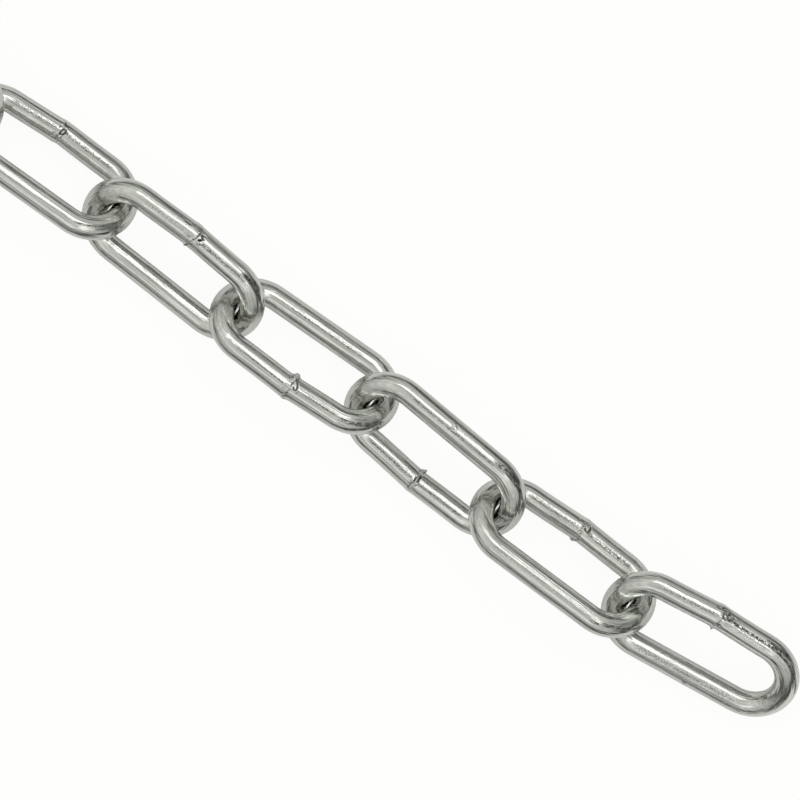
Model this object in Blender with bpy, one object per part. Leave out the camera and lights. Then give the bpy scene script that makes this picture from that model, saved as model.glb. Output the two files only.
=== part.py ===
"""One metre of zinc-plated long-link steel chain, lying straight on a level floor.

Nineteen welded links of 8 mm wire, each 52 mm long inside and 32 mm wide outside.
The chain runs along +X, +Z is up and the links rest on Z = 0.
Each link leans to the side opposite to that of the link before it, and hangs in its bow.
"""

import math

import bpy
from mathutils import Matrix, Vector

# Wire and link, in metres
WIRE_RADIUS = 0.004
INSIDE_LENGTH = 0.052
OUTSIDE_WIDTH = 0.032
LINK_COUNT = 19
RUNNING_GAP = 0.0004

# Butt weld in the middle of one long side: a raised ring, where that side bends outwards a little
WELD_RISE = 0.0010
WELD_RING_HALF = 0.0010
WELD_RING_FOOT = 0.0026
WELD_RING_SCALE = 1.08

# Lie of the links on the floor, in degrees
LEAN_WELD_UP = 39.0
LEAN_WELD_DOWN = 36.5
HEADING = 1.2
END_LEANS = (36.5, 39.5, 38.0, 37.5, 37.0, 38.0)
END_HEADINGS = (2.2, -0.6, 3.0, -2.2, 1.0, 8.8)

# Flats round the wire, and straight steps round each bow
SIDES = 12
BOW_STEPS = 10

# Finish: bright zinc plate
ZINC_COLOUR = (0.36, 0.37, 0.34, 1.0)
ZINC_ROUGHNESS = 0.32

BOW_RADIUS = OUTSIDE_WIDTH / 2 - WIRE_RADIUS
HALF_RUN = INSIDE_LENGTH / 2 + WIRE_RADIUS - BOW_RADIUS
HALF_LENGTH = HALF_RUN + BOW_RADIUS
NEST = 2 * WIRE_RADIUS + RUNNING_GAP
FLAT_REACH = WIRE_RADIUS * math.cos(math.pi / SIDES)


def down_side_of(index):
    """Side of the chain on which a link lies on the floor: +1 for +Y, -1 for -Y, in turn."""
    return -1 if index % 2 == 0 else 1


def weld_side_of(index):
    """Side of the chain that a link's weld is on: two links at -Y, then two at +Y."""
    return -1 if index % 4 in (3, 0) else 1


def lean_of(index):
    """Signed turn of a link about the chain. One that lies on its weld leans a little less."""
    lean = LEAN_WELD_DOWN if weld_side_of(index) == down_side_of(index) else LEAN_WELD_UP
    first_of_end = LINK_COUNT - len(END_LEANS)
    if index >= first_of_end:
        lean = END_LEANS[index - first_of_end]
    return math.radians(-down_side_of(index) * lean)


def heading_of(index):
    """Turn of a link about the vertical, away from the chain's own direction."""
    first_of_end = LINK_COUNT - len(END_HEADINGS)
    if index >= first_of_end:
        return math.radians(END_HEADINGS[index - first_of_end])
    return math.radians(HEADING * down_side_of(index))


def weld_points(side):
    """Four points of the weld's ring, on the long side at +Y or -Y, with the wire's scale there."""
    ring = []
    for place in (WELD_RING_FOOT, WELD_RING_HALF, -WELD_RING_HALF, -WELD_RING_FOOT):
        rise = WELD_RISE * (1 - abs(place) / HALF_RUN)
        scale = WELD_RING_SCALE if abs(place) == WELD_RING_HALF else 1.0
        ring.append((Vector((side * place, side * (BOW_RADIUS + rise), 0)), scale))
    return ring


def centre_line(weld_side):
    """Points round one link in its own plane, centred on the origin, with the wire's scale."""
    points = []
    for end in (1, -1):
        for step in range(BOW_STEPS + 1):
            angle = math.pi * (step / BOW_STEPS - 0.5)
            x = HALF_RUN + BOW_RADIUS * math.cos(angle)
            y = BOW_RADIUS * math.sin(angle)
            points.append((Vector((end * x, end * y, 0)), 1.0))
        if end == weld_side:
            points += weld_points(end)
    return points


def rest_height(index):
    """Height of a link's centre when its lower long side, or the weld there, is on the floor."""
    steepness = math.sin(abs(lean_of(index)))
    if weld_side_of(index) != down_side_of(index):
        return BOW_RADIUS * steepness + FLAT_REACH
    apex = BOW_RADIUS + WELD_RISE * (1 - WELD_RING_HALF / HALF_RUN)
    return apex * steepness + FLAT_REACH * WELD_RING_SCALE


def zinc_plate():
    """Bright zinc on drawn steel wire."""
    material = bpy.data.materials.new("zinc_plated_steel")
    material.use_nodes = True
    shader = material.node_tree.nodes["Principled BSDF"]
    shader.inputs["Base Color"].default_value = ZINC_COLOUR
    shader.inputs["Metallic"].default_value = 1.0
    shader.inputs["Roughness"].default_value = ZINC_ROUGHNESS
    return material


def make_link(index, centre, pivot, material):
    """One link as a closed round wire. Its origin is in the bow that it swings on."""
    turn = link_turn(index)
    shift = turn.inverted() @ (centre - pivot)
    name = f"chain_link_{index + 1:02d}"
    curve = bpy.data.curves.new(name, "CURVE")
    curve.dimensions = "3D"
    curve.twist_mode = "Z_UP"
    curve.bevel_depth = WIRE_RADIUS
    curve.bevel_resolution = SIDES // 2 - 2
    points = centre_line(weld_side_of(index))
    wire = curve.splines.new("POLY")
    wire.points.add(len(points) - 1)
    wire.use_cyclic_u = True
    # The tilt turns one flat of the wire to face the floor
    flat_tilt = math.pi / SIDES - abs(lean_of(index))
    for point, (place, scale) in zip(wire.points, points):
        point.co = (*(place + shift), 1.0)
        point.radius = scale
        point.tilt = flat_tilt
    curve.materials.append(material)
    link = bpy.data.objects.new(name, curve)
    link.matrix_world = Matrix.Translation(pivot) @ turn.to_4x4()
    return link


def link_turn(index):
    """A link's lean and then its heading, as one turn."""
    return Matrix.Rotation(heading_of(index), 3, "Z") @ Matrix.Rotation(lean_of(index), 3, "X")


def foot_of(links):
    """Middle of the chain's length and width, at the height of the floor."""
    depsgraph = bpy.context.evaluated_depsgraph_get()
    corners = []
    for link in links:
        solid = link.evaluated_get(depsgraph)
        mesh = solid.to_mesh()
        corners += [solid.matrix_world @ vertex.co for vertex in mesh.vertices]
        solid.to_mesh_clear()
    lowest = Vector([min(corner[axis] for corner in corners) for axis in range(3)])
    highest = Vector([max(corner[axis] for corner in corners) for axis in range(3)])
    middle = (lowest + highest) / 2
    return Vector((middle.x, middle.y, lowest.z))


def main():
    for old in list(bpy.data.objects):
        bpy.data.objects.remove(old)
    chain = bpy.data.collections.new("steel_chain")
    bpy.context.scene.collection.children.link(chain)
    material = zinc_plate()
    # Centre of the wire in the bow that the next link hangs in; the first link has its own
    bow = Vector((0, 0, rest_height(0)))
    along_before = Vector((1, 0, 0))
    links = []
    for index in range(LINK_COUNT):
        along = link_turn(index) @ Vector((1, 0, 0))
        centre = bow - NEST * (along_before + along).normalized() + HALF_LENGTH * along
        centre.z = rest_height(index)
        link = make_link(index, centre, bow, material)
        chain.objects.link(link)
        if links:
            link.parent = links[-1]
            link.matrix_parent_inverse = links[-1].matrix_world.inverted()
        bpy.context.view_layer.update()
        links.append(link)
        bow = centre + HALF_LENGTH * along
        along_before = along
    links[0].location -= foot_of(links)


main()
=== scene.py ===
"""Looks of a length of welded long-link steel chain: round wire links, their welds and bright zinc plate."""

import math
from collections import namedtuple

import bmesh
import bpy
import numpy as np
from bpy.props import FloatProperty, FloatVectorProperty, PointerProperty
from mathutils import Matrix, Vector


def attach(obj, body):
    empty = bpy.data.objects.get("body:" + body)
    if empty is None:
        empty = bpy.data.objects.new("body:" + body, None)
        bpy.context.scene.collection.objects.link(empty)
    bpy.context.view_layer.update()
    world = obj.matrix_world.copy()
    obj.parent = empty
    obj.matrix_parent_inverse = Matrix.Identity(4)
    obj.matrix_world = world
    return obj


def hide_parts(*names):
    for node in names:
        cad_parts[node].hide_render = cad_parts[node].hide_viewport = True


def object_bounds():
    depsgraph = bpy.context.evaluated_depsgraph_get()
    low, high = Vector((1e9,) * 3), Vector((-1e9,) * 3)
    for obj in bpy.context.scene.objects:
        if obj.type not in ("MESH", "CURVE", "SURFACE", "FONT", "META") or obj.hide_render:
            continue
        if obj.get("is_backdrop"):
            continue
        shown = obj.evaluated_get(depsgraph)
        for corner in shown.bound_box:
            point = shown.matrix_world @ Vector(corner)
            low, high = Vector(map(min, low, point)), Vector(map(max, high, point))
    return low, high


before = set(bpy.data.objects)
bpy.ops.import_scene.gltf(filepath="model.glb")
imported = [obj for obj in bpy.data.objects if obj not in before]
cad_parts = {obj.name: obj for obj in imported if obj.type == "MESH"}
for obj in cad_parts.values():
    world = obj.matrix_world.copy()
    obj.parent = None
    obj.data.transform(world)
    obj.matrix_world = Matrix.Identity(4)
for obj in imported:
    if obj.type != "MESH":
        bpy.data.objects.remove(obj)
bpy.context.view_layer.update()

bl_info = {
    "name": "Welded Chain Looks",
    "version": (1, 0, 0),
    "blender": (4, 5, 0),
    "location": "3D View > Sidebar > Chain",
    "description": "Dresses the packed chain in drawn wire, welds and zinc plate, and lights it in a studio",
    "category": "Object",
}

MM = 0.001
MICRON = 0.000001

SLOT = "zinc_plated_steel"

# The wire's attributes: its place in mm (along the drawn wire, out and up from its middle), how dark it
# is painted, from 0 to 1, for burnt scale and for painted shade and dark reflections, and how pitted,
# which is 1 or more where the clamps and the heat marked it.
DRAWN_WIRE = "drawn_wire"
SCALE_AND_SHADE = "scale_and_painted_shade"
PITTING = "pitting"

# The patterns in the plate. Each grain is this long along the wire and this wide across it, in mm. The
# real pits, die lines and streaks are mostly finer than a pixel, so they are drawn about three times as
# coarse as they are, and as deep as they need to be to show.
DENT_GRAIN, DENT_DEPTH = (9.0, 3.0), 24 * MICRON
PIT_GRAIN, PIT_DEPTH = (0.46, 0.30), 55 * MICRON
DIE_LINE_GRAIN, DIE_LINE_DEPTH = (40.0, 0.90), 60 * MICRON
SCORE_GRAIN, SCORE_DEPTH = (50.0, 1.2), 34 * MICRON
RUB_GRAIN, RUB_DEPTH = (2.6, 0.70), 30 * MICRON
STREAK_GRAIN = (16.0, 0.42)
FLAKE_GRAIN = (1.1, 0.45)
CLOUD_GRAIN = (14.0, 6.0)
# The span of each noise in which its pattern turns from one side to the other: a short one has a sharp
# edge
PIT_EDGE = (0.50, 0.64)
SCORE_EDGE = (0.44, 0.56)
RUB_EDGE = (0.36, 0.64)
STREAK_EDGE = (0.38, 0.60)
FLAKE_EDGE = (0.44, 0.56)
CLOUD_EDGE = (0.35, 0.65)
GLOSS_EDGE = (0.30, 0.70)
# How much of the pits' depth is left where the clouds are thinnest, and of the rubs on the tumbled runs
SHALLOW_PITS = 0.4
WORN_RUBS = 0.3
# The die's streaks are this much as bright as the rest of the plate, and this much fainter on the bows
STREAK_SHADE = 0.77
FAINT_ON_BOWS = 0.45
# The pitting at which the scale and painted shade start to break up into flakes and at which they are
# broken up the most, the same for the dark specks painted in the pits, and how far each goes
FLAKED_AT, MOST_FLAKED = (0.6, 2.0), 0.9
SPECK_SHADE_AT, MOST_SPECK_SHADE = (0.2, 2.2), 0.9
# Roughness of the glossiest and the dullest plate, and what full scale and painted shade add to it
GLOSSY, DULL = 0.08, 0.13
SCALE_ROUGHNESS = 0.22

# Faces round the wire, and steps along each stretch of it
SIDES = 144
WELD_STEPS = 36
SHOULDER_STEPS = 8
BOW_STEPS = 26
RUN_STEPS = 4
GRIP_STEPS = 24
# Points on the curve between two turns of a stroke
ROUTE_STEPS = 5
# A stroke that reaches farther along the wire than this, in mm, has its beads along it, and any other
# has them round it. Between two beads the stroke is weaker by twice this share.
LONG_ROUTE = 3.0
BEAD_SWING = 0.4

# Half of the stretch that is modelled finely for the weld, and for the grip opposite it
WELD_REACH = 6.0 * MM
GRIP_REACH = 4.0 * MM
# The runs rubbed on each other in the tumbler, the bows did not: how pitted a run is, and how far into
# the bow that fades out
RUN_PITS = 0.26
PITS_FADE = 4.0 * MM
# How softly the welded run leaves the bow: 1 is a straight rise to the weld
KINK_CURVE = 1.2
# The points of a packed link that are farther from its middle than this share of its length are its
# tips, and show where the middle of its width is
TIP_FROM = 0.49

# The first of the welds below shows on the last link but five, and the last one at the free end
FIRST_WELD_FROM_END = 6

# Where the camera looks: back from the chain's free end, across it, and up from the floor, in metres
AIM_FROM_FREE_END = 0.1558
AIM_ACROSS = 0.0057
AIM_HEIGHT = 0.012
# How far the camera leans back off the vertical, along the chain and across it, in degrees
LEAN_ALONG = 0.77
LEAN_ACROSS = 1.03
# The width of the camera's frame, in mm
SENSOR_WIDTH = 36.0

# How far the floor reaches from the middle, in metres, and its paper's tooth: the grains in a metre and
# their depth
FLOOR_REACH = 12.0
PAPER_TOOTH, TOOTH_DEPTH = 900.0, 10 * MICRON
# The softboxes hang this high. Each spans two angles off the vertical across the chain, and two places
# along it, in metres.
SOFTBOX_HEIGHT = 1.2
KEY_ACROSS, KEY_ALONG = (14, 36), (-0.35, 0.70)
FILL_ACROSS, FILL_ALONG = (-50, -36), (0.05, 0.75)
END_ACROSS, END_ALONG = (-20, 20), (0.66, 1.0)

# The tent's brightness from the floor (0) to overhead (1). It leans away from the chain's free end.
TENT_LEAN = (-0.13, -0.03, 1.0)
TENT_WALLS = (
    (0.0, 0.09), (0.10, 0.11), (0.19, 0.16), (0.27, 0.38), (0.36, 0.48), (0.46, 0.64), (0.50, 0.44),
    (0.58, 0.80), (0.63, 0.56), (0.72, 0.92), (0.78, 0.66), (0.86, 0.96), (0.92, 0.74), (1.0, 0.70),
)
# What is left of it round the hole in its top that the camera looks through
TENT_TOP = ((0.0, 1.0), (0.984, 1.0), (0.996, 0.78), (1.0, 0.72))
# The gap between the tent and the key softbox: which way it lies, how dark it is, and the cosines of the
# angles off its middle at which it ends and begins
GAP_TOWARDS = (0.54, 0.57, 0.62)
GAP_LIGHT = 0.48
GAP_END, GAP_START = 0.93, 0.98
TENT_COLOUR = "#FAFCF6"
PAPER_LIGHT = 1.0
# Painted shade: the mirrored paper is painted darker between these two distances from the chain's line, in
# metres, down to this much
DIM_FROM, DIM_TO = 0.02, 0.16
FAR_PAPER_SHADE = 0.38
BACKDROP_LIGHT = 0.98


def linear(code):
    """Turns an sRGB hex colour into the linear numbers that Blender works in."""
    channels = [int(code[i : i + 2], 16) / 255 for i in (1, 3, 5)]
    return [c / 12.92 if c <= 0.04045 else ((c + 0.055) / 1.055) ** 2.4 for c in channels]


class ChainSettings(bpy.types.PropertyGroup):
    """Sizes and colours of the links."""

    wire_diameter: FloatProperty(
        name="Wire diameter", description="Thickness of the drawn wire",
        default=0.008, min=0.001, unit="LENGTH",
    )
    inside_length: FloatProperty(
        name="Inside length", description="Length of the opening in a link, which is the pitch",
        default=0.052, min=0.01, unit="LENGTH",
    )
    outside_width: FloatProperty(
        name="Outside width", description="Width of a link over both runs, away from its weld",
        default=0.032, min=0.01, unit="LENGTH",
    )
    weld_rise: FloatProperty(
        name="Weld rise", description="How far the welded run is pushed outwards at the weld",
        default=0.001, min=0.0, unit="LENGTH",
    )
    zinc_colour: FloatVectorProperty(
        name="Zinc", description="Colour of the bright zinc plate", subtype="COLOR",
        size=3, min=0.0, max=1.0, default=linear("#DADBD7"),
    )
    # The dark colour of the weld scale, also painted in as shade in the weld's grooves and pits and as dark
    # reflections on the right-hand bows
    scale_and_shade_colour: FloatVectorProperty(
        name="Weld scale", description="Colour of the plate over burnt scale", subtype="COLOR",
        size=3, min=0.0, max=1.0, default=linear("#4A4B46"),
    )


class StudioSettings(bpy.types.PropertyGroup):
    """The camera, the lights and the floor."""

    camera_lens: FloatProperty(
        name="Lens", description="Focal length on a 36 mm frame", default=269.2, min=10.0, unit="CAMERA",
    )
    camera_distance: FloatProperty(
        name="Distance", description="From the camera to the chain", default=1.888, min=0.1, unit="LENGTH",
    )
    camera_turn: FloatProperty(
        name="Turn", description="Angle of the chain across the picture",
        default=math.radians(37.67), subtype="ANGLE",
    )
    key_radiance: FloatProperty(
        name="Key light", description="Brightness of the large softbox", default=1.24, min=0.0,
    )
    fill_radiance: FloatProperty(
        name="Fill light", description="Brightness of the softbox opposite", default=0.38, min=0.0,
    )
    end_radiance: FloatProperty(
        name="End light", description="Brightness of the small softbox past the free end",
        default=0.56, min=0.0,
    )
    floor_colour: FloatVectorProperty(
        name="Floor", description="Colour of the paper under the chain", subtype="COLOR",
        size=3, min=0.0, max=1.0, default=linear("#FEFEFD"),
    )
    # Painted shade: the floor as the metal mirrors it is painted a darker grey than the paper the camera sees
    mirrored_painted_shade: FloatVectorProperty(
        name="Mirrored floor", description="Colour of the floor by the chain as the metal mirrors it",
        subtype="COLOR", size=3, min=0.0, max=1.0, default=linear("#E2E2E2"),
    )
    floor_evenness: FloatProperty(
        name="Even floor", description="How far the floor's shadows are lightened",
        default=0.95, min=0.0, max=1.0, subtype="FACTOR",
    )


# A ridge, groove or smear on the wire. route has its turns, each mm along the wire from the weld, towards
# the link's own x, and degrees round the wire from its outer side over its top. width is half its width
# and rise its height, in mm. scale is how dark it is painted, for burnt scale, for painted
# shade in grooves and pits and for painted dark reflections, and pits how pitted it is. crisp is 2 for a
# soft edge and more for a sharp one. beads is the spacing in mm of the beads that break it up, or 0 for
# none. lean is how far its top leans along the link, in mm.
Stroke = namedtuple("Stroke", "route width rise scale pits crisp beads lean", defaults=(0, 0, 2, 0, 0))

# One weld: how far the wire was pushed out at both ends of the welded run and on the plain run, in mm,
# and what the upset, the trimming and the clamps left on it.
Weld = namedtuple("Weld", "start_push end_push plain_push strokes")


def spot(along, around, width, rise, scale=0, crisp=2):
    """A round mark."""
    return Stroke(((along, around),), width, rise, scale, crisp=crisp)


def ring(along, width, rise):
    """A rise that goes the whole way round the wire."""
    return Stroke(((along, 0), (along, 180), (along, 360)), width, rise)


def pitted(route, width, pits, scale=0):
    """A stretch of pits that neither rises nor sinks, and the dark colour painted in them, partly scale and
    partly painted shade for the dark dots along a highlight's edge.
    """
    return Stroke(route, width, 0.0, scale, pits)


def painted_dark_patch(route, width, pits, scale=1.0, rise=-0.06):
    """A dark patch with sharp edges, broken up where it is strongly pitted: painted reflection in the scale
    colour, for dark surroundings that the metal mirrors there.
    """
    return Stroke(route, width, rise, scale, pits, crisp=3)


# The bead folded over into a small closed loop
FOLDED_BEAD = Weld(start_push=0.2, end_push=0.9, plain_push=0.4, strokes=(
    ring(-2.2, 1.2, 0.12),
    # Painted shade: a wide grey spot that neither rises nor sinks dims the highlight over the collar
    spot(-2.7, 118, 1.3, 0.0, 0.12),
    Stroke(((-3.0, 160), (-2.7, 144)), 0.34, -0.14, 0.3),
    Stroke(((-2.2, 110), (-2.1, 98)), 0.22, -0.16, 0.4),
    Stroke((
        (-1.0, 138), (-1.15, 124), (-0.8, 109), (-0.35, 105), (0.15, 109), (0.35, 118), (0.0, 129),
        (-0.5, 138), (-1.0, 138)), 0.22, -0.32, 1.0, crisp=4),
    Stroke(((-0.1, 156), (-0.05, 144), (0.0, 132)), 0.18, -0.18, 0.6),
    spot(-0.95, 134, 0.30, -0.24, 1.0, crisp=3),
    spot(-0.40, 119, 0.32, 0.20),
    spot(0.85, 120, 0.34, 0.26),
    spot(-1.50, 143, 0.32, 0.24),
    Stroke(((-0.5, 164), (-0.6, 178)), 0.24, -0.18, 0.4),
    Stroke(((-1.25, 150), (-1.3, 168)), 0.20, -0.16, 0.4),
    Stroke(((-1.5, 79), (-1.0, 86), (-0.2, 86)), 0.48, -0.12, 0.75, crisp=4),
    spot(-0.5, 212, 0.50, -0.40),
    pitted(((1.0, 118), (19.0, 116)), 0.34, 2.2, 0.10),
    pitted(((1.0, 127), (10.0, 126), (19.0, 124)), 0.24, 1.4),
    pitted(((-19.0, 118), (-3.4, 119)), 0.40, 2.0, 0.05),
    spot(-70.1, 96, 0.36, -0.30, 0.9),
    # Painted reflection: dark patches on the right-hand bow for the dark surroundings it mirrors
    painted_dark_patch(((53.0, 60), (48.0, 66), (43.5, 66), (40.0, 60)), 0.34, 2.0, scale=0.9),
    painted_dark_patch(((48.0, 50), (43.0, 52)), 0.26, 2.0, scale=0.9),
))
# A seam that slants round the wire, with a hooked fold and spatter beside its end
CURVED_SEAM = Weld(start_push=0.2, end_push=0.0, plain_push=0.5, strokes=(
    ring(0.7, 1.5, 0.14),
    Stroke(((0.55, 134), (0.8, 124), (1.15, 108)), 0.24, -0.34, 1.0, crisp=4),
    Stroke(((1.15, 110), (1.3, 96), (1.55, 78), (1.9, 62)), 0.17, -0.16, 0.6, crisp=3, beads=0.9),
    Stroke(((1.9, 66), (2.3, 50), (2.6, 30), (2.4, 14)), 0.19, -0.20, 0.7),
    Stroke(((1.8, 60), (2.0, 40), (2.0, 16)), 0.22, 0.22, beads=0.7),
    Stroke(((3.3, 52), (3.9, 44), (4.1, 34), (3.5, 28), (3.3, 22), (4.2, 18)), 0.26, -0.44, 1.0, crisp=3),
    spot(4.65, 35, 0.20, -0.24, 0.9),
    Stroke(((2.7, 54), (3.6, 62), (4.7, 58)), 0.40, 0.22),
    spot(5.2, 60, 0.18, -0.24, 0.9),
    spot(5.3, 51, 0.18, -0.24, 0.9),
    spot(0.45, 142, 0.30, 0.50),
    spot(1.8, 6, 0.60, -0.12, 0.5),
    Stroke(((-3.6, 16), (-1.8, 16)), 0.40, -0.10, 0.4),
    Stroke(((-0.4, 66), (0.4, 68)), 0.20, -0.16, 0.6),
    spot(3.7, 47, 0.28, -0.20, 1.0),
    pitted(((4.0, 60), (10.0, 56), (22.0, 54)), 0.46, 2.4, 0.15),
    pitted(((-19.0, 56), (-1.0, 57)), 0.30, 1.0),
    # Painted reflection: dark patches on the right-hand bow for the dark surroundings it mirrors
    painted_dark_patch(((20.5, 34), (24.0, 28), (27.0, 24)), 0.75, 1.5),
    painted_dark_patch(((26.0, 26), (29.0, 20), (32.0, 12)), 0.42, 1.6),
    painted_dark_patch(((22.8, 14), (24.4, 9), (25.8, 4)), 0.45, 1.2, rise=0.0),
))
# A proud ridge that ends in a knob, with a hooked fold beside it
PROUD_RIDGE = Weld(start_push=0.4, end_push=0.3, plain_push=0.5, strokes=(
    ring(-1.2, 1.6, 0.14),
    Stroke(((-1.8, 18), (-1.8, 52), (-1.6, 72), (-1.8, 92)), 0.46, 0.17),
    Stroke(((-2.5, 94), (-2.35, 66), (-2.45, 44), (-2.3, 16)), 0.17, -0.08, 0.7, beads=1.3),
    Stroke(((-1.95, 100), (-1.9, 124), (-2.0, 160)), 1.0, 0.92, crisp=4),
    Stroke(((-3.0, 140), (-2.9, 112), (-3.1, 98)), 0.26, -0.26, 0.5),
    Stroke(((-0.85, 100), (-0.9, 118), (-1.0, 140)), 0.22, -0.26, 0.6),
    Stroke((
        (-3.2, 92), (-4.0, 76), (-4.3, 60), (-4.0, 51), (-3.4, 54), (-3.1, 62)), 0.20, -0.34, 1.0, crisp=3),
    spot(-4.8, 47, 0.30, -0.10, 0.7),
    Stroke(((-2.5, 8), (-2.0, 2), (-1.7, -6)), 0.34, -0.16, 0.6),
    Stroke(((-0.6, 34), (-0.2, 33)), 0.20, -0.14, 0.4),
    spot(-2.2, -32, 0.80, 0.40),
    pitted(((0.5, 52), (10.0, 52), (19.0, 52)), 0.26, 1.8, 0.30),
    pitted(((-19.0, 57), (-5.0, 56)), 0.30, 1.6, 0.15),
    # Painted reflection: dark patches on the right-hand bow for the dark surroundings it mirrors
    painted_dark_patch(((-21.0, 44), (-25.0, 45), (-30.0, 38)), 0.40, 2.2),
    painted_dark_patch(((-20.0, 56), (-26.0, 54), (-29.5, 48)), 0.26, 2.0, scale=0.9),
    pitted(((56.0, 124), (91.0, 124)), 0.34, 1.8, 0.05),
))
# A thin fin between two deep notches, and two cracks across the plain run opposite
SPLIT_FIN = Weld(start_push=0.05, end_push=0.05, plain_push=0.5, strokes=(
    ring(-0.5, 1.1, 0.10),
    Stroke(((-0.5, 205), (-0.6, 170), (-0.6, 142), (-0.75, 122)), 0.24, 0.34),
    Stroke(((-1.15, 166), (-1.2, 152), (-1.45, 134)), 0.28, -0.40, 1.0, crisp=4),
    Stroke(((-0.1, 146), (-0.15, 138), (-0.35, 128)), 0.24, -0.36, 1.0, crisp=4),
    Stroke(((-0.35, 128), (-0.38, 112), (-0.1, 96), (0.0, 82)), 0.17, -0.14, 0.6),
    Stroke(((-0.85, 128), (-0.85, 110), (-0.6, 92)), 0.36, 0.13),
    Stroke(((0.15, 128), (0.3, 110)), 0.36, 0.13),
    spot(-1.45, 119, 0.42, 0.36),
    spot(0.20, 119, 0.32, 0.34),
    spot(-0.75, 190, 0.26, -0.20, 0.5),
    spot(0.4, 182, 0.30, -0.22, 0.5),
    Stroke(((-1.5, 90), (-0.7, 84)), 0.30, -0.18, 0.6),
    Stroke(((-0.5, 200), (-0.5, 226)), 0.70, 0.85, crisp=3, lean=-0.7),
    pitted(((1.5, 129), (19.0, 127)), 0.42, 2.0, 0.05),
    pitted(((-19.0, 126), (-2.0, 125)), 0.50, 1.8),
    # Painted reflection: dark patches on the right-hand bow for the dark surroundings it mirrors
    painted_dark_patch(((-57.0, 38), (-52.5, 38), (-50.0, 34)), 0.80, 1.4),
    painted_dark_patch(((-50.0, 34), (-46.5, 26), (-42.5, 14)), 0.36, 1.6),
    painted_dark_patch(((-54.0, 30), (-52.2, 30), (-50.6, 15), (-49.6, 14)), 0.55, 1.0, rise=0.0),
    pitted(((56.0, 57), (91.0, 57)), 0.36, 2.0, 0.10),
    Stroke(((71.8, 24), (72.3, 42), (71.9, 60)), 0.20, -0.16, 1.0, beads=0.7),
    Stroke(((73.2, 24), (72.7, 40), (73.4, 62)), 0.20, -0.20, 1.0, beads=0.8),
    Stroke(((72.6, 26), (73.9, 46), (72.8, 66)), 0.28, 0.16),
))
# Two deep folds round a low knob, on a run that bends in at its start
RINGED_KNOB = Weld(start_push=-0.6, end_push=0.0, plain_push=0.6, strokes=(
    ring(0.2, 1.3, 0.12),
    Stroke(((-0.7, 138), (-0.65, 114), (-0.55, 92)), 0.20, 0.26),
    Stroke(((-0.35, 136), (-0.25, 114), (-0.25, 94)), 0.18, -0.18, 0.8, beads=0.9),
    Stroke(((0.0, 130), (0.1, 98)), 0.18, 0.20),
    Stroke(((0.45, 132), (0.25, 146), (0.6, 160), (0.4, 196)), 0.18, -0.30, 0.7, beads=0.9),
    spot(0.9, 173, 0.34, -0.20, 0.8),
    Stroke(((0.6, 110), (0.9, 117), (1.3, 118)), 0.24, -0.34, 1.0, crisp=4),
    Stroke(((2.0, 116), (2.1, 106), (1.9, 94), (1.65, 86)), 0.28, -0.40, 1.0, crisp=4),
    Stroke(((0.6, 92), (1.3, 86)), 0.20, -0.18, 0.6),
    spot(1.25, 103, 0.36, 0.24),
    spot(1.6, 127, 0.40, 0.26),
    spot(2.9, 118, 0.36, 0.18),
    Stroke(((0.2, 186), (0.3, 204)), 0.26, -0.16, 0.4),
    spot(-2.7, 90, 0.34, -0.16, 0.7),
    spot(-0.7, 206, 0.90, 0.62, crisp=3),
    pitted(((2.5, 124), (19.0, 123)), 0.44, 2.2, 0.12),
    pitted(((2.5, 114), (19.0, 114)), 0.30, 1.0),
    pitted(((-19.0, 124), (-2.4, 122)), 0.75, 1.6),
    # Painted reflection: dark patches on the right-hand bow for the dark surroundings it mirrors
    painted_dark_patch(((55.0, 44), (50.0, 50), (45.5, 46), (41.5, 26)), 0.40, 2.2),
    painted_dark_patch(((52.0, 60), (47.0, 58)), 0.24, 2.0, scale=0.9),
))
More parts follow.
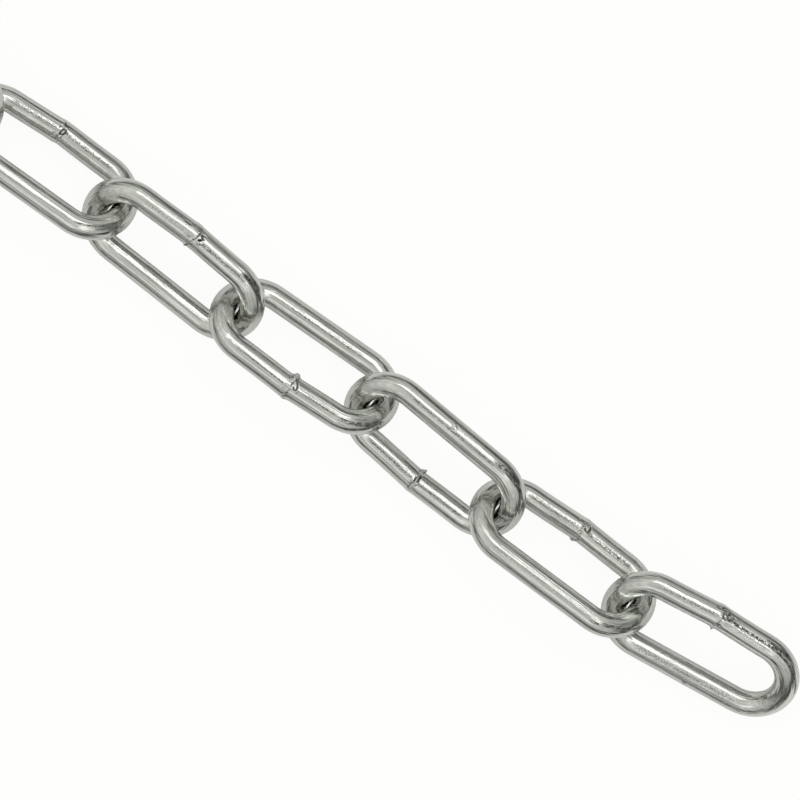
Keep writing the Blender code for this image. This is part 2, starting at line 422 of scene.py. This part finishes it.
# A seam full of cracks and spatter, on a run that bulges out and is flattened past the weld
SPATTERED_SEAM = Weld(start_push=1.2, end_push=0.5, plain_push=0.6, strokes=(
    ring(0.2, 1.3, 0.16),
    spot(0.2, 140, 0.42, 0.75),
    Stroke(((0.2, 128), (0.5, 98), (0.9, 70), (1.3, 46)), 0.40, 0.19),
    Stroke(((0.6, 92), (1.0, 80)), 0.20, -0.20, 0.8, beads=0.6),
    spot(1.9, 84, 0.36, -0.14, 0.7),
    Stroke(((1.7, 44), (2.3, 47), (2.8, 50)), 0.18, -0.26, 1.0),
    Stroke(((1.7, 42), (1.6, 30), (2.2, 20)), 0.22, -0.26, 1.0, beads=0.9),
    Stroke(((3.3, 40), (3.0, 28), (3.1, 14)), 0.22, -0.28, 1.0, beads=0.8),
    Stroke(((4.1, 43), (4.6, 36), (4.3, 28), (5.2, 20)), 0.26, -0.26, 1.0, beads=1.1),
    Stroke(((0.4, 10), (0.9, -1), (1.9, -4)), 0.20, -0.20, 0.8),
    Stroke(((2.5, -2), (3.1, 6), (3.1, 18)), 0.24, -0.28, 1.0),
    Stroke(((-1.4, 10), (-0.4, 14), (0.4, 12)), 0.26, -0.10, 0.6),
    spot(2.4, 34, 0.30, 0.18),
    Stroke(((1.8, 28), (3.6, 22), (8.0, 30)), 0.80, 0.0, 0.25, pits=1.6, beads=0.7),
    Stroke(((4.4, 34), (21.0, 34)), 1.60, -0.12),
    Stroke(((4.4, 84), (21.0, 84)), 1.60, 0.36),
    # A band painted dark beside the flattened stretch: partly scale, partly painted shade that puts out the
    # highlight there
    painted_dark_patch(((3.4, 40), (9.0, 40), (17.0, 40), (22.0, 42)), 0.60, 2.0),
    # Painted reflection: dark patches on the right-hand bow for the dark surroundings it mirrors
    painted_dark_patch(((21.5, 44), (27.0, 40), (34.0, 30)), 0.36, 1.8),
    painted_dark_patch(((17.5, 26), (20.5, 27), (22.8, 25), (24.4, 22)), 0.50, 1.2, rise=0.0),
    pitted(((3.6, 58), (22.0, 58)), 0.60, 0.7),
    pitted(((-19.0, 54), (-1.0, 50)), 0.60, 1.8),
    pitted(((56.0, 119), (91.0, 119)), 0.70, 1.3),
    Stroke(((72.0, 74), (72.6, 62), (72.4, 50)), 0.28, 0.20),
    Stroke(((71.4, 74), (71.6, 54)), 0.22, -0.14, 0.6),
))
WELDS = (FOLDED_BEAD, CURVED_SEAM, PROUD_RIDGE, SPLIT_FIN, RINGED_KNOB, SPATTERED_SEAM)


def add_node(tree, kind, inputs=None, **settings):
    """Adds a node with its settings. An input is a value, or the output that feeds it."""
    node = tree.nodes.new(kind)
    for name, value in settings.items():
        setattr(node, name, value)
    for name, value in (inputs or {}).items():
        if isinstance(value, bpy.types.NodeSocket):
            tree.links.new(value, node.inputs[name])
        else:
            node.inputs[name].default_value = value
    return node


def opaque(colour):
    """A colour with its alpha."""
    return (*colour, 1.0)


def zinc_plated_steel(settings):
    """Bright zinc plate on drawn wire.

    The wire was pulled through a die, bent and butt-welded, and the links were then tumbled and plated
    in a bath. The plate is thin, so the lines of the die and the dents of the tumbling show through it as
    broken edges along each reflection. Scale left by the weld shows as dark flakes, and the same dark
    colour is painted in as shade in the weld's grooves and pits and as dark reflections on the right-hand
    bows.
    """
    material = bpy.data.materials.new(SLOT)
    material.use_nodes = True
    tree = material.node_tree
    tree.nodes.clear()

    wire = add_node(tree, "ShaderNodeAttribute", attribute_name=DRAWN_WIRE).outputs["Vector"]
    # The mask of burnt scale and of painted shade and dark reflections
    scale = add_node(tree, "ShaderNodeAttribute", attribute_name=SCALE_AND_SHADE).outputs["Fac"]
    pitting = add_node(tree, "ShaderNodeAttribute", attribute_name=PITTING).outputs["Fac"]

    def pattern(grain, detail, roughness):
        """Noise whose grains are this long and wide on the wire, in mm."""
        length, width = grain
        grains_in_mm = (1 / length, 1 / width, 1 / width)
        place = add_node(tree, "ShaderNodeMapping", {"Vector": wire, "Scale": grains_in_mm})
        noise = {"Vector": place.outputs[0], "Scale": 1.0, "Detail": detail, "Roughness": roughness}
        return add_node(tree, "ShaderNodeTexNoise", noise, noise_dimensions="3D").outputs["Fac"]

    def between(value, low, high, to_low, to_high):
        """Maps a value from one span to another, and holds it there."""
        spans = {"Value": value, "From Min": low, "From Max": high, "To Min": to_low, "To Max": to_high}
        return add_node(tree, "ShaderNodeMapRange", spans, clamp=True).outputs["Result"]

    # Dents of the tumbling, pits of the pickling, lines and scores of the die along the wire, and the
    # rubs of the bending, which the tumbling wore away on the runs. The plate is cloudy all over.
    dents = pattern(DENT_GRAIN, 2.0, 0.5)
    pits = between(pattern(PIT_GRAIN, 0.0, 0.5), *PIT_EDGE, 1.0, 0.0)
    die_lines = pattern(DIE_LINE_GRAIN, 2.0, 0.6)
    scores = between(pattern(SCORE_GRAIN, 0.0, 0.5), *SCORE_EDGE, 0.0, 1.0)
    rubs = between(pattern(RUB_GRAIN, 0.0, 0.5), *RUB_EDGE, 0.0, 1.0)
    clouds = pattern(CLOUD_GRAIN, 3.0, 0.55)

    pit_strength = add_node(tree, "ShaderNodeMath", {
        0: between(clouds, *CLOUD_EDGE, SHALLOW_PITS, 1.0), 1: pitting}, operation="MULTIPLY").outputs[0]
    rub_strength = between(pitting, 0.0, RUN_PITS, 1.0, WORN_RUBS)
    bump = add_node(tree, "ShaderNodeBump", {"Height": dents, "Distance": DENT_DEPTH, "Strength": 1.0})
    for height, depth, strength in (
        (pits, PIT_DEPTH, pit_strength),
        (die_lines, DIE_LINE_DEPTH, 1.0),
        (scores, SCORE_DEPTH, 1.0),
        (rubs, RUB_DEPTH, rub_strength),
    ):
        bump = add_node(tree, "ShaderNodeBump", {
            "Height": height, "Distance": depth, "Strength": strength, "Normal": bump.outputs[0]})

    # The bending stretched the wire's skin on the bows, so the die's streaks are fainter there
    faintness = between(pitting, 0.0, RUN_PITS, FAINT_ON_BOWS, 0.0)
    streaks = between(pattern(STREAK_GRAIN, 1.0, 0.5), *STREAK_EDGE, faintness, 1.0)
    plate = add_node(tree, "ShaderNodeMix", {
        0: streaks, 6: opaque([c * STREAK_SHADE for c in settings.zinc_colour]),
        7: opaque(settings.zinc_colour)}, data_type="RGBA")
    # Where the wire is strongly pitted, the scale and painted shade on it are broken up into flakes
    gaps = between(pattern(FLAKE_GRAIN, 1.0, 0.6), *FLAKE_EDGE, 0.0, 1.0)
    bare = add_node(tree, "ShaderNodeMath", {
        0: gaps, 1: between(pitting, *FLAKED_AT, 0.0, MOST_FLAKED)}, operation="MULTIPLY").outputs[0]
    covered = add_node(tree, "ShaderNodeMath", {0: 1.0, 1: bare}, operation="SUBTRACT").outputs[0]
    scale = add_node(tree, "ShaderNodeMath", {0: scale, 1: covered}, operation="MULTIPLY").outputs[0]

    # Dark specks are painted in the deeper pits: partly the thin, dull plate at their bottoms, partly painted
    # shade for the dark dots that pits show beside a highlight
    painted_pit_specks = add_node(tree, "ShaderNodeMath", {
        0: between(pits, 1.0, 0.0, 0.0, MOST_SPECK_SHADE),
        1: between(pitting, *SPECK_SHADE_AT, 0.0, 1.0)}, operation="MULTIPLY").outputs[0]
    specked = add_node(tree, "ShaderNodeMix", {
        0: painted_pit_specks, 6: plate.outputs[2], 7: opaque(settings.scale_and_shade_colour)}, data_type="RGBA")
    # Painted shade and scale: the mask lays the dark colour over the plate
    burnt_and_shaded = add_node(tree, "ShaderNodeMix", {
        0: scale, 6: specked.outputs[2], 7: opaque(settings.scale_and_shade_colour)}, data_type="RGBA")

    rough = add_node(tree, "ShaderNodeMath", {
        0: between(clouds, *GLOSS_EDGE, GLOSSY, DULL),
        1: between(scale, 0.0, 1.0, 0.0, SCALE_ROUGHNESS)}, operation="ADD")

    shader = add_node(tree, "ShaderNodeBsdfPrincipled", {
        "Base Color": burnt_and_shaded.outputs[2],
        "Metallic": 1.0,
        "Roughness": rough.outputs[0],
        "Normal": bump.outputs[0],
    })
    add_node(tree, "ShaderNodeOutputMaterial", {"Surface": shader.outputs[0]})
    return material


def studio_paper(settings):
    """Matt white paper, rolled out flat: it gives the eye an even ground with no gloss.

    The camera sees an almost even white. The metal mirrors a greyer sheet with painted shade: its colour
    is painted darker away from the chain, as the light on paper under a softbox falls off.
    """
    material = bpy.data.materials.new("studio_paper")
    material.use_nodes = True
    tree = material.node_tree
    tree.nodes.clear()
    path = add_node(tree, "ShaderNodeLightPath").outputs
    place = add_node(tree, "ShaderNodeTexCoord").outputs["Object"]
    tooth = add_node(tree, "ShaderNodeTexNoise", {"Vector": place, "Scale": PAPER_TOOTH, "Detail": 2.0})
    bump = add_node(tree, "ShaderNodeBump", {"Height": tooth.outputs["Fac"], "Distance": TOOTH_DEPTH})
    lit = add_node(tree, "ShaderNodeBsdfDiffuse", {
        "Color": opaque(settings.floor_colour), "Roughness": 0.5, "Normal": bump.outputs[0]})
    across = add_node(tree, "ShaderNodeSeparateXYZ", {"Vector": place}).outputs["Y"]
    off = add_node(tree, "ShaderNodeMath", {0: across}, operation="ABSOLUTE").outputs[0]
    # Painted shade: the mirrored paper's colour is painted darker away from the chain's line
    painted_falloff = add_node(tree, "ShaderNodeMapRange", {
        "Value": off, "From Min": DIM_FROM, "From Max": DIM_TO, "To Min": 1.0, "To Max": FAR_PAPER_SHADE},
        clamp=True)
    mirrored_painted_shade = add_node(tree, "ShaderNodeMix", {
        0: painted_falloff.outputs[0], 6: opaque((0, 0, 0)), 7: opaque(settings.mirrored_painted_shade)}, data_type="RGBA")
    mirrored = add_node(tree, "ShaderNodeBsdfDiffuse", {"Color": mirrored_painted_shade.outputs[2]})
    even = add_node(tree, "ShaderNodeEmission", {"Color": opaque(settings.floor_colour)})
    seen = add_node(tree, "ShaderNodeMixShader", {
        0: settings.floor_evenness, 1: lit.outputs[0], 2: even.outputs[0]})
    either = add_node(tree, "ShaderNodeMixShader", {
        0: path["Is Camera Ray"], 1: mirrored.outputs[0], 2: seen.outputs[0]})
    add_node(tree, "ShaderNodeOutputMaterial", {"Surface": either.outputs[0]})
    return material


def link_place(node):
    """Where a packed link lies: x along it, y towards its weld, z off its plane, from its middle."""
    points = np.array([vertex.co[:] for vertex in node.data.vertices])
    middle = points.mean(axis=0)
    axes = np.linalg.eigh(np.cov((points - middle).T))[1]
    along, up = Vector(axes[:, 2]), Vector(axes[:, 0])
    up = up if up.z > 0 else -up
    along = along if along.x > 0 else -along
    side = up.cross(along)
    reach = points @ np.array(along)
    middle += np.array(along) * ((reach.max() + reach.min()) / 2 - middle @ np.array(along))
    tips = points[np.abs(reach - middle @ np.array(along)) > (reach.max() - reach.min()) * TIP_FROM]
    middle += np.array(side) * ((tips - middle) @ np.array(side)).mean()
    across = (points - middle) @ np.array(side)
    if -across.min() > across.max():
        along, side = -along, -side
    place = Matrix((along, side, up)).transposed().to_4x4()
    place.translation = middle
    return place


def sweep(bm, edges, steps, **motion):
    """Carries an open ring of the wire on by a spin, and returns the ring at its far end."""
    swept = bmesh.ops.spin(
        bm, geom=edges, steps=steps, use_merge=False, use_normal_flip=False, use_duplicate=False, **motion
    )
    return [edge for edge in swept["geom_last"] if isinstance(edge, bmesh.types.BMEdge)]


def run_on(bm, edges, length, steps):
    """Carries a ring straight on along the link."""
    return sweep(bm, edges, steps, angle=0.0, dvec=(length / steps, 0, 0), axis=(0, 0, 1), cent=(0, 0, 0))


def bend_round(bm, edges, end):
    """Carries a ring round the bow whose middle is at this end of the link."""
    return sweep(bm, edges, BOW_STEPS, angle=math.pi, axis=(0, 0, -1), cent=(end, 0, 0))


def bare_link(settings):
    """One link before its weld is upset: wire from the weld, round both bows and back to the weld."""
    wire_radius = settings.wire_diameter / 2
    bow_radius = settings.outside_width / 2 - wire_radius
    half_run = settings.inside_length / 2 + wire_radius - bow_radius
    shoulder = half_run - WELD_REACH

    bm = bmesh.new()
    start = Matrix.Translation((0, bow_radius, 0)) @ Matrix.Rotation(math.radians(90), 4, "Y")
    bmesh.ops.create_circle(bm, cap_ends=False, segments=SIDES, radius=wire_radius, matrix=start)
    edges = run_on(bm, bm.edges[:], WELD_REACH, WELD_STEPS)
    edges = run_on(bm, edges, shoulder, SHOULDER_STEPS)
    edges = bend_round(bm, edges, half_run)
    edges = run_on(bm, edges, GRIP_REACH - half_run, RUN_STEPS)
    edges = run_on(bm, edges, -2 * GRIP_REACH, GRIP_STEPS)
    edges = run_on(bm, edges, GRIP_REACH - half_run, RUN_STEPS)
    edges = bend_round(bm, edges, -half_run)
    edges = run_on(bm, edges, shoulder, SHOULDER_STEPS)
    run_on(bm, edges, WELD_REACH, WELD_STEPS)
    bmesh.ops.remove_doubles(bm, verts=bm.verts, dist=MICRON)
    bmesh.ops.recalc_face_normals(bm, faces=bm.faces)
    # A spin makes a ring's faces in another order each time, so they are put in the order of their points
    bm.verts.index_update()
    in_order = sorted(bm.faces, key=lambda face: sorted(vertex.index for vertex in face.verts))
    for number, face in enumerate(in_order):
        face.index = number
        face.smooth = True
    bm.faces.sort()
    mesh = bpy.data.meshes.new("bare_link")
    bm.to_mesh(mesh)
    bm.free()
    return mesh, bow_radius, half_run


def drawn_back(points, bow_radius, half_run):
    """Lays points of a link back on the straight wire: along it from the weld, outwards, and upwards."""
    x, y, z = points.T
    past = np.abs(x) - half_run
    on_bow = past > 0
    angle = np.arctan2(past, y)
    out = np.where(on_bow, np.hypot(past, y), np.abs(y)) - bow_radius
    round_bow = half_run + bow_radius * angle
    plain_run = half_run + bow_radius * math.pi + (half_run - np.abs(x))
    along = np.where(on_bow, round_bow, np.where(y > 0, np.abs(x), plain_run))
    return np.column_stack((along * np.where(x < 0, -1, 1), out, z))


def rounded(route):
    """Draws a smooth curve, a Catmull-Rom spline, through the turns of a route."""
    turns = np.array(route, float)
    if len(turns) < 3:
        return turns
    a, b, c, d = (np.vstack((turns[:1], turns, turns[-1:]))[i : len(turns) - 1 + i] for i in range(4))
    parts = []
    for t in np.arange(0, 1, 1 / ROUTE_STEPS):
        bend = (2 * a - 5 * b + 4 * c - d) * t ** 2 + (3 * b - a - 3 * c + d) * t ** 3
        parts.append((2 * b + (c - a) * t + bend) / 2)
    return np.vstack((np.stack(parts, axis=1).reshape(-1, 2), turns[-1:]))


def near_route(route, along, around, wire_radius, length):
    """How far each point of the wire is from a route, and its place along and round the wire, in mm."""
    turns = rounded(route)
    middle = turns.mean(axis=0)
    flat = np.column_stack((
        (along - middle[0] + length / 2) % length - length / 2 + middle[0],
        ((around - middle[1] + 180) % 360 - 180 + middle[1]) * math.radians(wire_radius),
    ))
    turns[:, 1] *= math.radians(wire_radius)
    far = np.full(len(flat), np.inf)
    starts, ends = (turns[:-1], turns[1:]) if len(turns) > 1 else (turns, turns)
    for start, end in zip(starts, ends):
        span = end - start
        share = np.clip((flat - start) @ span / max(span @ span, 1e-9), 0, 1)
        far = np.minimum(far, np.linalg.norm(flat - start - share[:, None] * span, axis=1))
    return far, flat


def struck(along, around, wire_radius, length, strokes):
    """How far the strokes raise and lean each point of the wire, in mm, how dark it is painted for scale and
    for painted shade, and how pitted it is.
    """
    rise, lean, scale, pits = np.zeros((4, len(along)))
    for stroke in strokes:
        far, flat = near_route(stroke.route, along, around, wire_radius, length)
        strength = np.exp(-((far / stroke.width) ** stroke.crisp))
        if stroke.beads:
            long_route = abs(stroke.route[-1][0] - stroke.route[0][0]) > LONG_ROUTE
            run = flat[:, 0] if long_route else flat[:, 1]
            strength *= 1 - BEAD_SWING + BEAD_SWING * np.sin(run * 2 * math.pi / stroke.beads)
        rise += stroke.rise * strength
        lean += stroke.lean * strength
        scale += stroke.scale * strength
        pits += stroke.pits * strength
    return rise, lean, np.clip(scale, 0, 1), pits


def write_attribute(mesh, name, kind, domain, values):
    """Stores one value, or three, for each point or corner of a mesh."""
    attribute = mesh.attributes.new(name, kind, domain)
    field = "vector" if kind == "FLOAT_VECTOR" else "value"
    attribute.data.foreach_set(field, np.asarray(values, np.float32).ravel())


def link_mesh(bare, settings, bow_radius, half_run, weld, index, name):
    """A copy of the bare link, upset at its weld and marked, with the attributes that its plate reads."""
    mesh = bare.copy()
    mesh.name = name
    points = np.empty(len(mesh.vertices) * 3)
    mesh.vertices.foreach_get("co", points)
    points = points.reshape(-1, 3)
    wire_radius = settings.wire_diameter / 2
    length = 4 * half_run + 2 * math.pi * bow_radius
    along, out, up = drawn_back(points, bow_radius, half_run).T
    around = np.degrees(np.arctan2(up, out))

    rise, lean, scale, pits = struck(along / MM, around, wire_radius / MM, length / MM, weld.strokes)
    middle = points - radial(points, bow_radius, half_run)
    moved = middle + (points - middle) * (1 + rise * MM / wire_radius)[:, None]
    moved[:, 0] += lean * MM
    moved[:, 1] += pushed_out(middle, bow_radius, half_run, settings.weld_rise, weld)
    mesh.vertices.foreach_set("co", moved.ravel())
    past = np.abs(points[:, 0]) - half_run
    pits += RUN_PITS * np.clip(1 - past / PITS_FADE, 0, 1)
    write_attribute(mesh, SCALE_AND_SHADE, "FLOAT", "POINT", scale)
    write_attribute(mesh, PITTING, "FLOAT", "POINT", pits)

    # The weld's own ring is both the start and the end of the wire, so its corners are told apart
    corners = np.empty(len(mesh.loops), np.int64)
    mesh.loops.foreach_get("vertex_index", corners)
    sides = np.array([face.center.x for face in mesh.polygons for _ in face.loop_indices])
    place = np.column_stack((along, out, up))[corners]
    distance = np.where(place[:, 0] < 0, place[:, 0] + length, place[:, 0])
    at_weld = np.abs(place[:, 0]) < 10 * MICRON
    place[:, 0] = np.where(at_weld, np.where(sides < 0, length, 0), distance) + index * length
    write_attribute(mesh, DRAWN_WIRE, "FLOAT_VECTOR", "CORNER", place / MM)
    return mesh


def pushed_out(middle, bow_radius, half_run, weld_rise, weld):
    """How far sideways the forming and the upset pushed the wire, at each point of its middle."""
    x, y, _ = middle.T
    share = np.clip(x / half_run, -1, 1) / 2 + 0.5
    push = weld.start_push + (weld.end_push - weld.start_push) * share
    lift = np.clip(1 - np.abs(x) / half_run, 0, 1) ** KINK_CURVE
    welded_run = push * MM * y / bow_radius + weld_rise * lift
    return np.where(y > 0, welded_run, weld.plain_push * MM * y / bow_radius)


def radial(points, bow_radius, half_run):
    """From the middle of the wire to each point on it."""
    x, y, z = points.T
    past = np.clip(np.abs(x) - half_run, 0, None)
    flat = np.hypot(past, y)
    share = 1 - bow_radius / flat
    return np.column_stack((np.sign(x) * past * share, y * share, z))


class CHAIN_OT_make_links(bpy.types.Operator):
    """Makes a round wire link with its weld for each packed link"""

    bl_idname = "chain.make_links"
    bl_label = "Make links"

    def execute(self, context):
        settings = context.scene.chain_settings
        zinc = zinc_plated_steel(settings)
        bare, bow_radius, half_run = bare_link(settings)
        names = sorted(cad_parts)
        if not names:
            raise RuntimeError("the frame has no links to dress")
        for index, node in enumerate(names):
            number = node.rsplit("_", 1)[1]
            weld = (index - len(names) + FIRST_WELD_FROM_END) % len(WELDS)
            name = "wire_link_" + number
            mesh = link_mesh(bare, settings, bow_radius, half_run, WELDS[weld], index, name)
            mesh.transform(link_place(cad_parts[node]))
            mesh.materials.append(zinc)
            link = bpy.data.objects.new(name, mesh)
            context.scene.collection.objects.link(link)
            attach(link, "link_" + number)
            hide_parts(node)
        bpy.data.meshes.remove(bare)
        return {"FINISHED"}


def add_softbox(scene, name, radiance, across, along):
    """A level softbox over the chain."""
    near, far = (math.tan(math.radians(angle)) * SOFTBOX_HEIGHT for angle in across)
    light = bpy.data.lights.new(name, "AREA")
    light.shape = "RECTANGLE"
    light.size = along[1] - along[0]
    light.size_y = far - near
    light.energy = radiance * math.pi * light.size * light.size_y
    softbox = bpy.data.objects.new(name, light)
    softbox.location = (sum(along) / 2, (near + far) / 2, SOFTBOX_HEIGHT)
    softbox.visible_camera = False
    scene.collection.objects.link(softbox)


class CHAIN_OT_make_stage(bpy.types.Operator):
    """Makes the floor, the lights and the camera"""

    bl_idname = "chain.make_stage"
    bl_label = "Make stage"

    def execute(self, context):
        scene = context.scene
        settings = scene.studio_settings
        low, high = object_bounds()

        bm = bmesh.new()
        ground = Matrix.Translation((0, 0, low.z))
        bmesh.ops.create_grid(bm, x_segments=1, y_segments=1, size=FLOOR_REACH, matrix=ground)
        mesh = bpy.data.meshes.new("floor")
        bm.to_mesh(mesh)
        bm.free()
        mesh.materials.append(studio_paper(settings))
        floor = bpy.data.objects.new("floor", mesh)
        scene.collection.objects.link(floor)
        floor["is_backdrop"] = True

        aim = Vector((high.x - AIM_FROM_FREE_END, AIM_ACROSS, AIM_HEIGHT))
        lean = (math.tan(math.radians(angle)) for angle in (LEAN_ALONG, LEAN_ACROSS))
        back = Vector((*lean, 1)).normalized()
        right = Vector((math.cos(settings.camera_turn), math.sin(settings.camera_turn), 0))
        right = (right - back * right.dot(back)).normalized()
        camera = bpy.data.cameras.new("camera")
        camera.sensor_width = SENSOR_WIDTH
        camera.lens = settings.camera_lens
        viewer = bpy.data.objects.new("camera", camera)
        pose = Matrix((right, back.cross(right), back)).transposed().to_4x4()
        pose.translation = aim + back * settings.camera_distance
        viewer.matrix_world = pose
        scene.collection.objects.link(viewer)
        scene.camera = viewer

        add_softbox(scene, "key_softbox", settings.key_radiance, KEY_ACROSS, KEY_ALONG)
        add_softbox(scene, "fill_softbox", settings.fill_radiance, FILL_ACROSS, FILL_ALONG)
        add_softbox(scene, "end_softbox", settings.end_radiance, END_ACROSS, END_ALONG)
        studio_air(scene)
        scene.view_settings.view_transform = "Standard"
        return {"FINISHED"}


def studio_air(scene):
    """The room round the chain: a light tent where the metal mirrors it, pale behind it, soft on the floor.

    The tent is bright half way up, dim where it meets the floor and where the camera looks in at its
    top, and a little dimmer towards the chain's free end. A dimmer gap in it, past the end of the key
    softbox, darkens one side of the right-hand bows.
    """
    world = bpy.data.worlds.new("studio")
    world.use_nodes = True
    tree = world.node_tree
    tree.nodes.clear()
    path = add_node(tree, "ShaderNodeLightPath").outputs
    direction = add_node(tree, "ShaderNodeTexCoord").outputs["Generated"]
    height = add_node(tree, "ShaderNodeSeparateXYZ", {"Vector": direction}).outputs["Z"]
    slope = add_node(tree, "ShaderNodeVectorMath", {0: direction, 1: TENT_LEAN}, operation="DOT_PRODUCT")
    walls = add_node(tree, "ShaderNodeValToRGB", {0: slope.outputs["Value"]})
    set_ramp(walls, TENT_WALLS)
    top = add_node(tree, "ShaderNodeValToRGB", {0: height})
    set_ramp(top, TENT_TOP)
    tent = add_node(tree, "ShaderNodeMath", {
        0: walls.outputs[0], 1: top.outputs[0]}, operation="MULTIPLY").outputs[0]
    near_gap = add_node(tree, "ShaderNodeVectorMath", {0: direction, 1: GAP_TOWARDS}, operation="DOT_PRODUCT")
    gap = add_node(tree, "ShaderNodeMapRange", {
        "Value": near_gap.outputs["Value"], "From Min": GAP_END, "From Max": GAP_START,
        "To Min": 1.0, "To Max": GAP_LIGHT}, clamp=True)
    brightness = add_node(tree, "ShaderNodeMath", {0: tent, 1: gap.outputs[0]}, operation="MULTIPLY")
    white = opaque(linear(TENT_COLOUR))
    room = add_node(tree, "ShaderNodeBackground", {"Color": white, "Strength": brightness.outputs[0]})
    soft = add_node(tree, "ShaderNodeBackground", {"Color": white, "Strength": PAPER_LIGHT})
    pale = add_node(tree, "ShaderNodeBackground", {"Color": white, "Strength": BACKDROP_LIGHT})
    lit = add_node(tree, "ShaderNodeMixShader", {
        0: path["Is Diffuse Ray"], 1: room.outputs[0], 2: soft.outputs[0]})
    seen = add_node(tree, "ShaderNodeMixShader", {
        0: path["Is Camera Ray"], 1: lit.outputs[0], 2: pale.outputs[0]})
    add_node(tree, "ShaderNodeOutputWorld", {"Surface": seen.outputs[0]})
    scene.world = world


def set_ramp(node, stops):
    """Gives a colour ramp these stops, each a place from 0 to 1 and a brightness."""
    elements = node.color_ramp.elements
    while len(elements) < len(stops):
        elements.new(0.5)
    for element, (place, value) in zip(elements, stops):
        element.position = place
        element.color = (value, value, value, 1.0)


class CHAIN_PT_looks(bpy.types.Panel):
    """Lists the chain's settings and its steps in the sidebar"""

    bl_label = "Welded chain"
    bl_idname = "CHAIN_PT_looks"
    bl_space_type = "VIEW_3D"
    bl_region_type = "UI"
    bl_category = "Chain"

    def draw(self, context):
        layout = self.layout
        for settings in (context.scene.chain_settings, context.scene.studio_settings):
            for name in settings.__annotations__:
                layout.prop(settings, name)
        for operator in STEPS:
            layout.operator(operator.bl_idname)


STEPS = (CHAIN_OT_make_links, CHAIN_OT_make_stage)
CLASSES = (ChainSettings, StudioSettings, *STEPS, CHAIN_PT_looks)


def register():
    """Adds the classes, and their settings to each scene."""
    for each in CLASSES:
        bpy.utils.register_class(each)
    bpy.types.Scene.chain_settings = PointerProperty(type=ChainSettings)
    bpy.types.Scene.studio_settings = PointerProperty(type=StudioSettings)


def unregister():
    """Takes the settings and the classes away again."""
    del bpy.types.Scene.studio_settings
    del bpy.types.Scene.chain_settings
    for each in reversed(CLASSES):
        bpy.utils.unregister_class(each)


def main():
    """Makes the links and the stage."""
    register()
    bpy.ops.chain.make_links()
    bpy.ops.chain.make_stage()


if __name__ == "__main__":
    main()
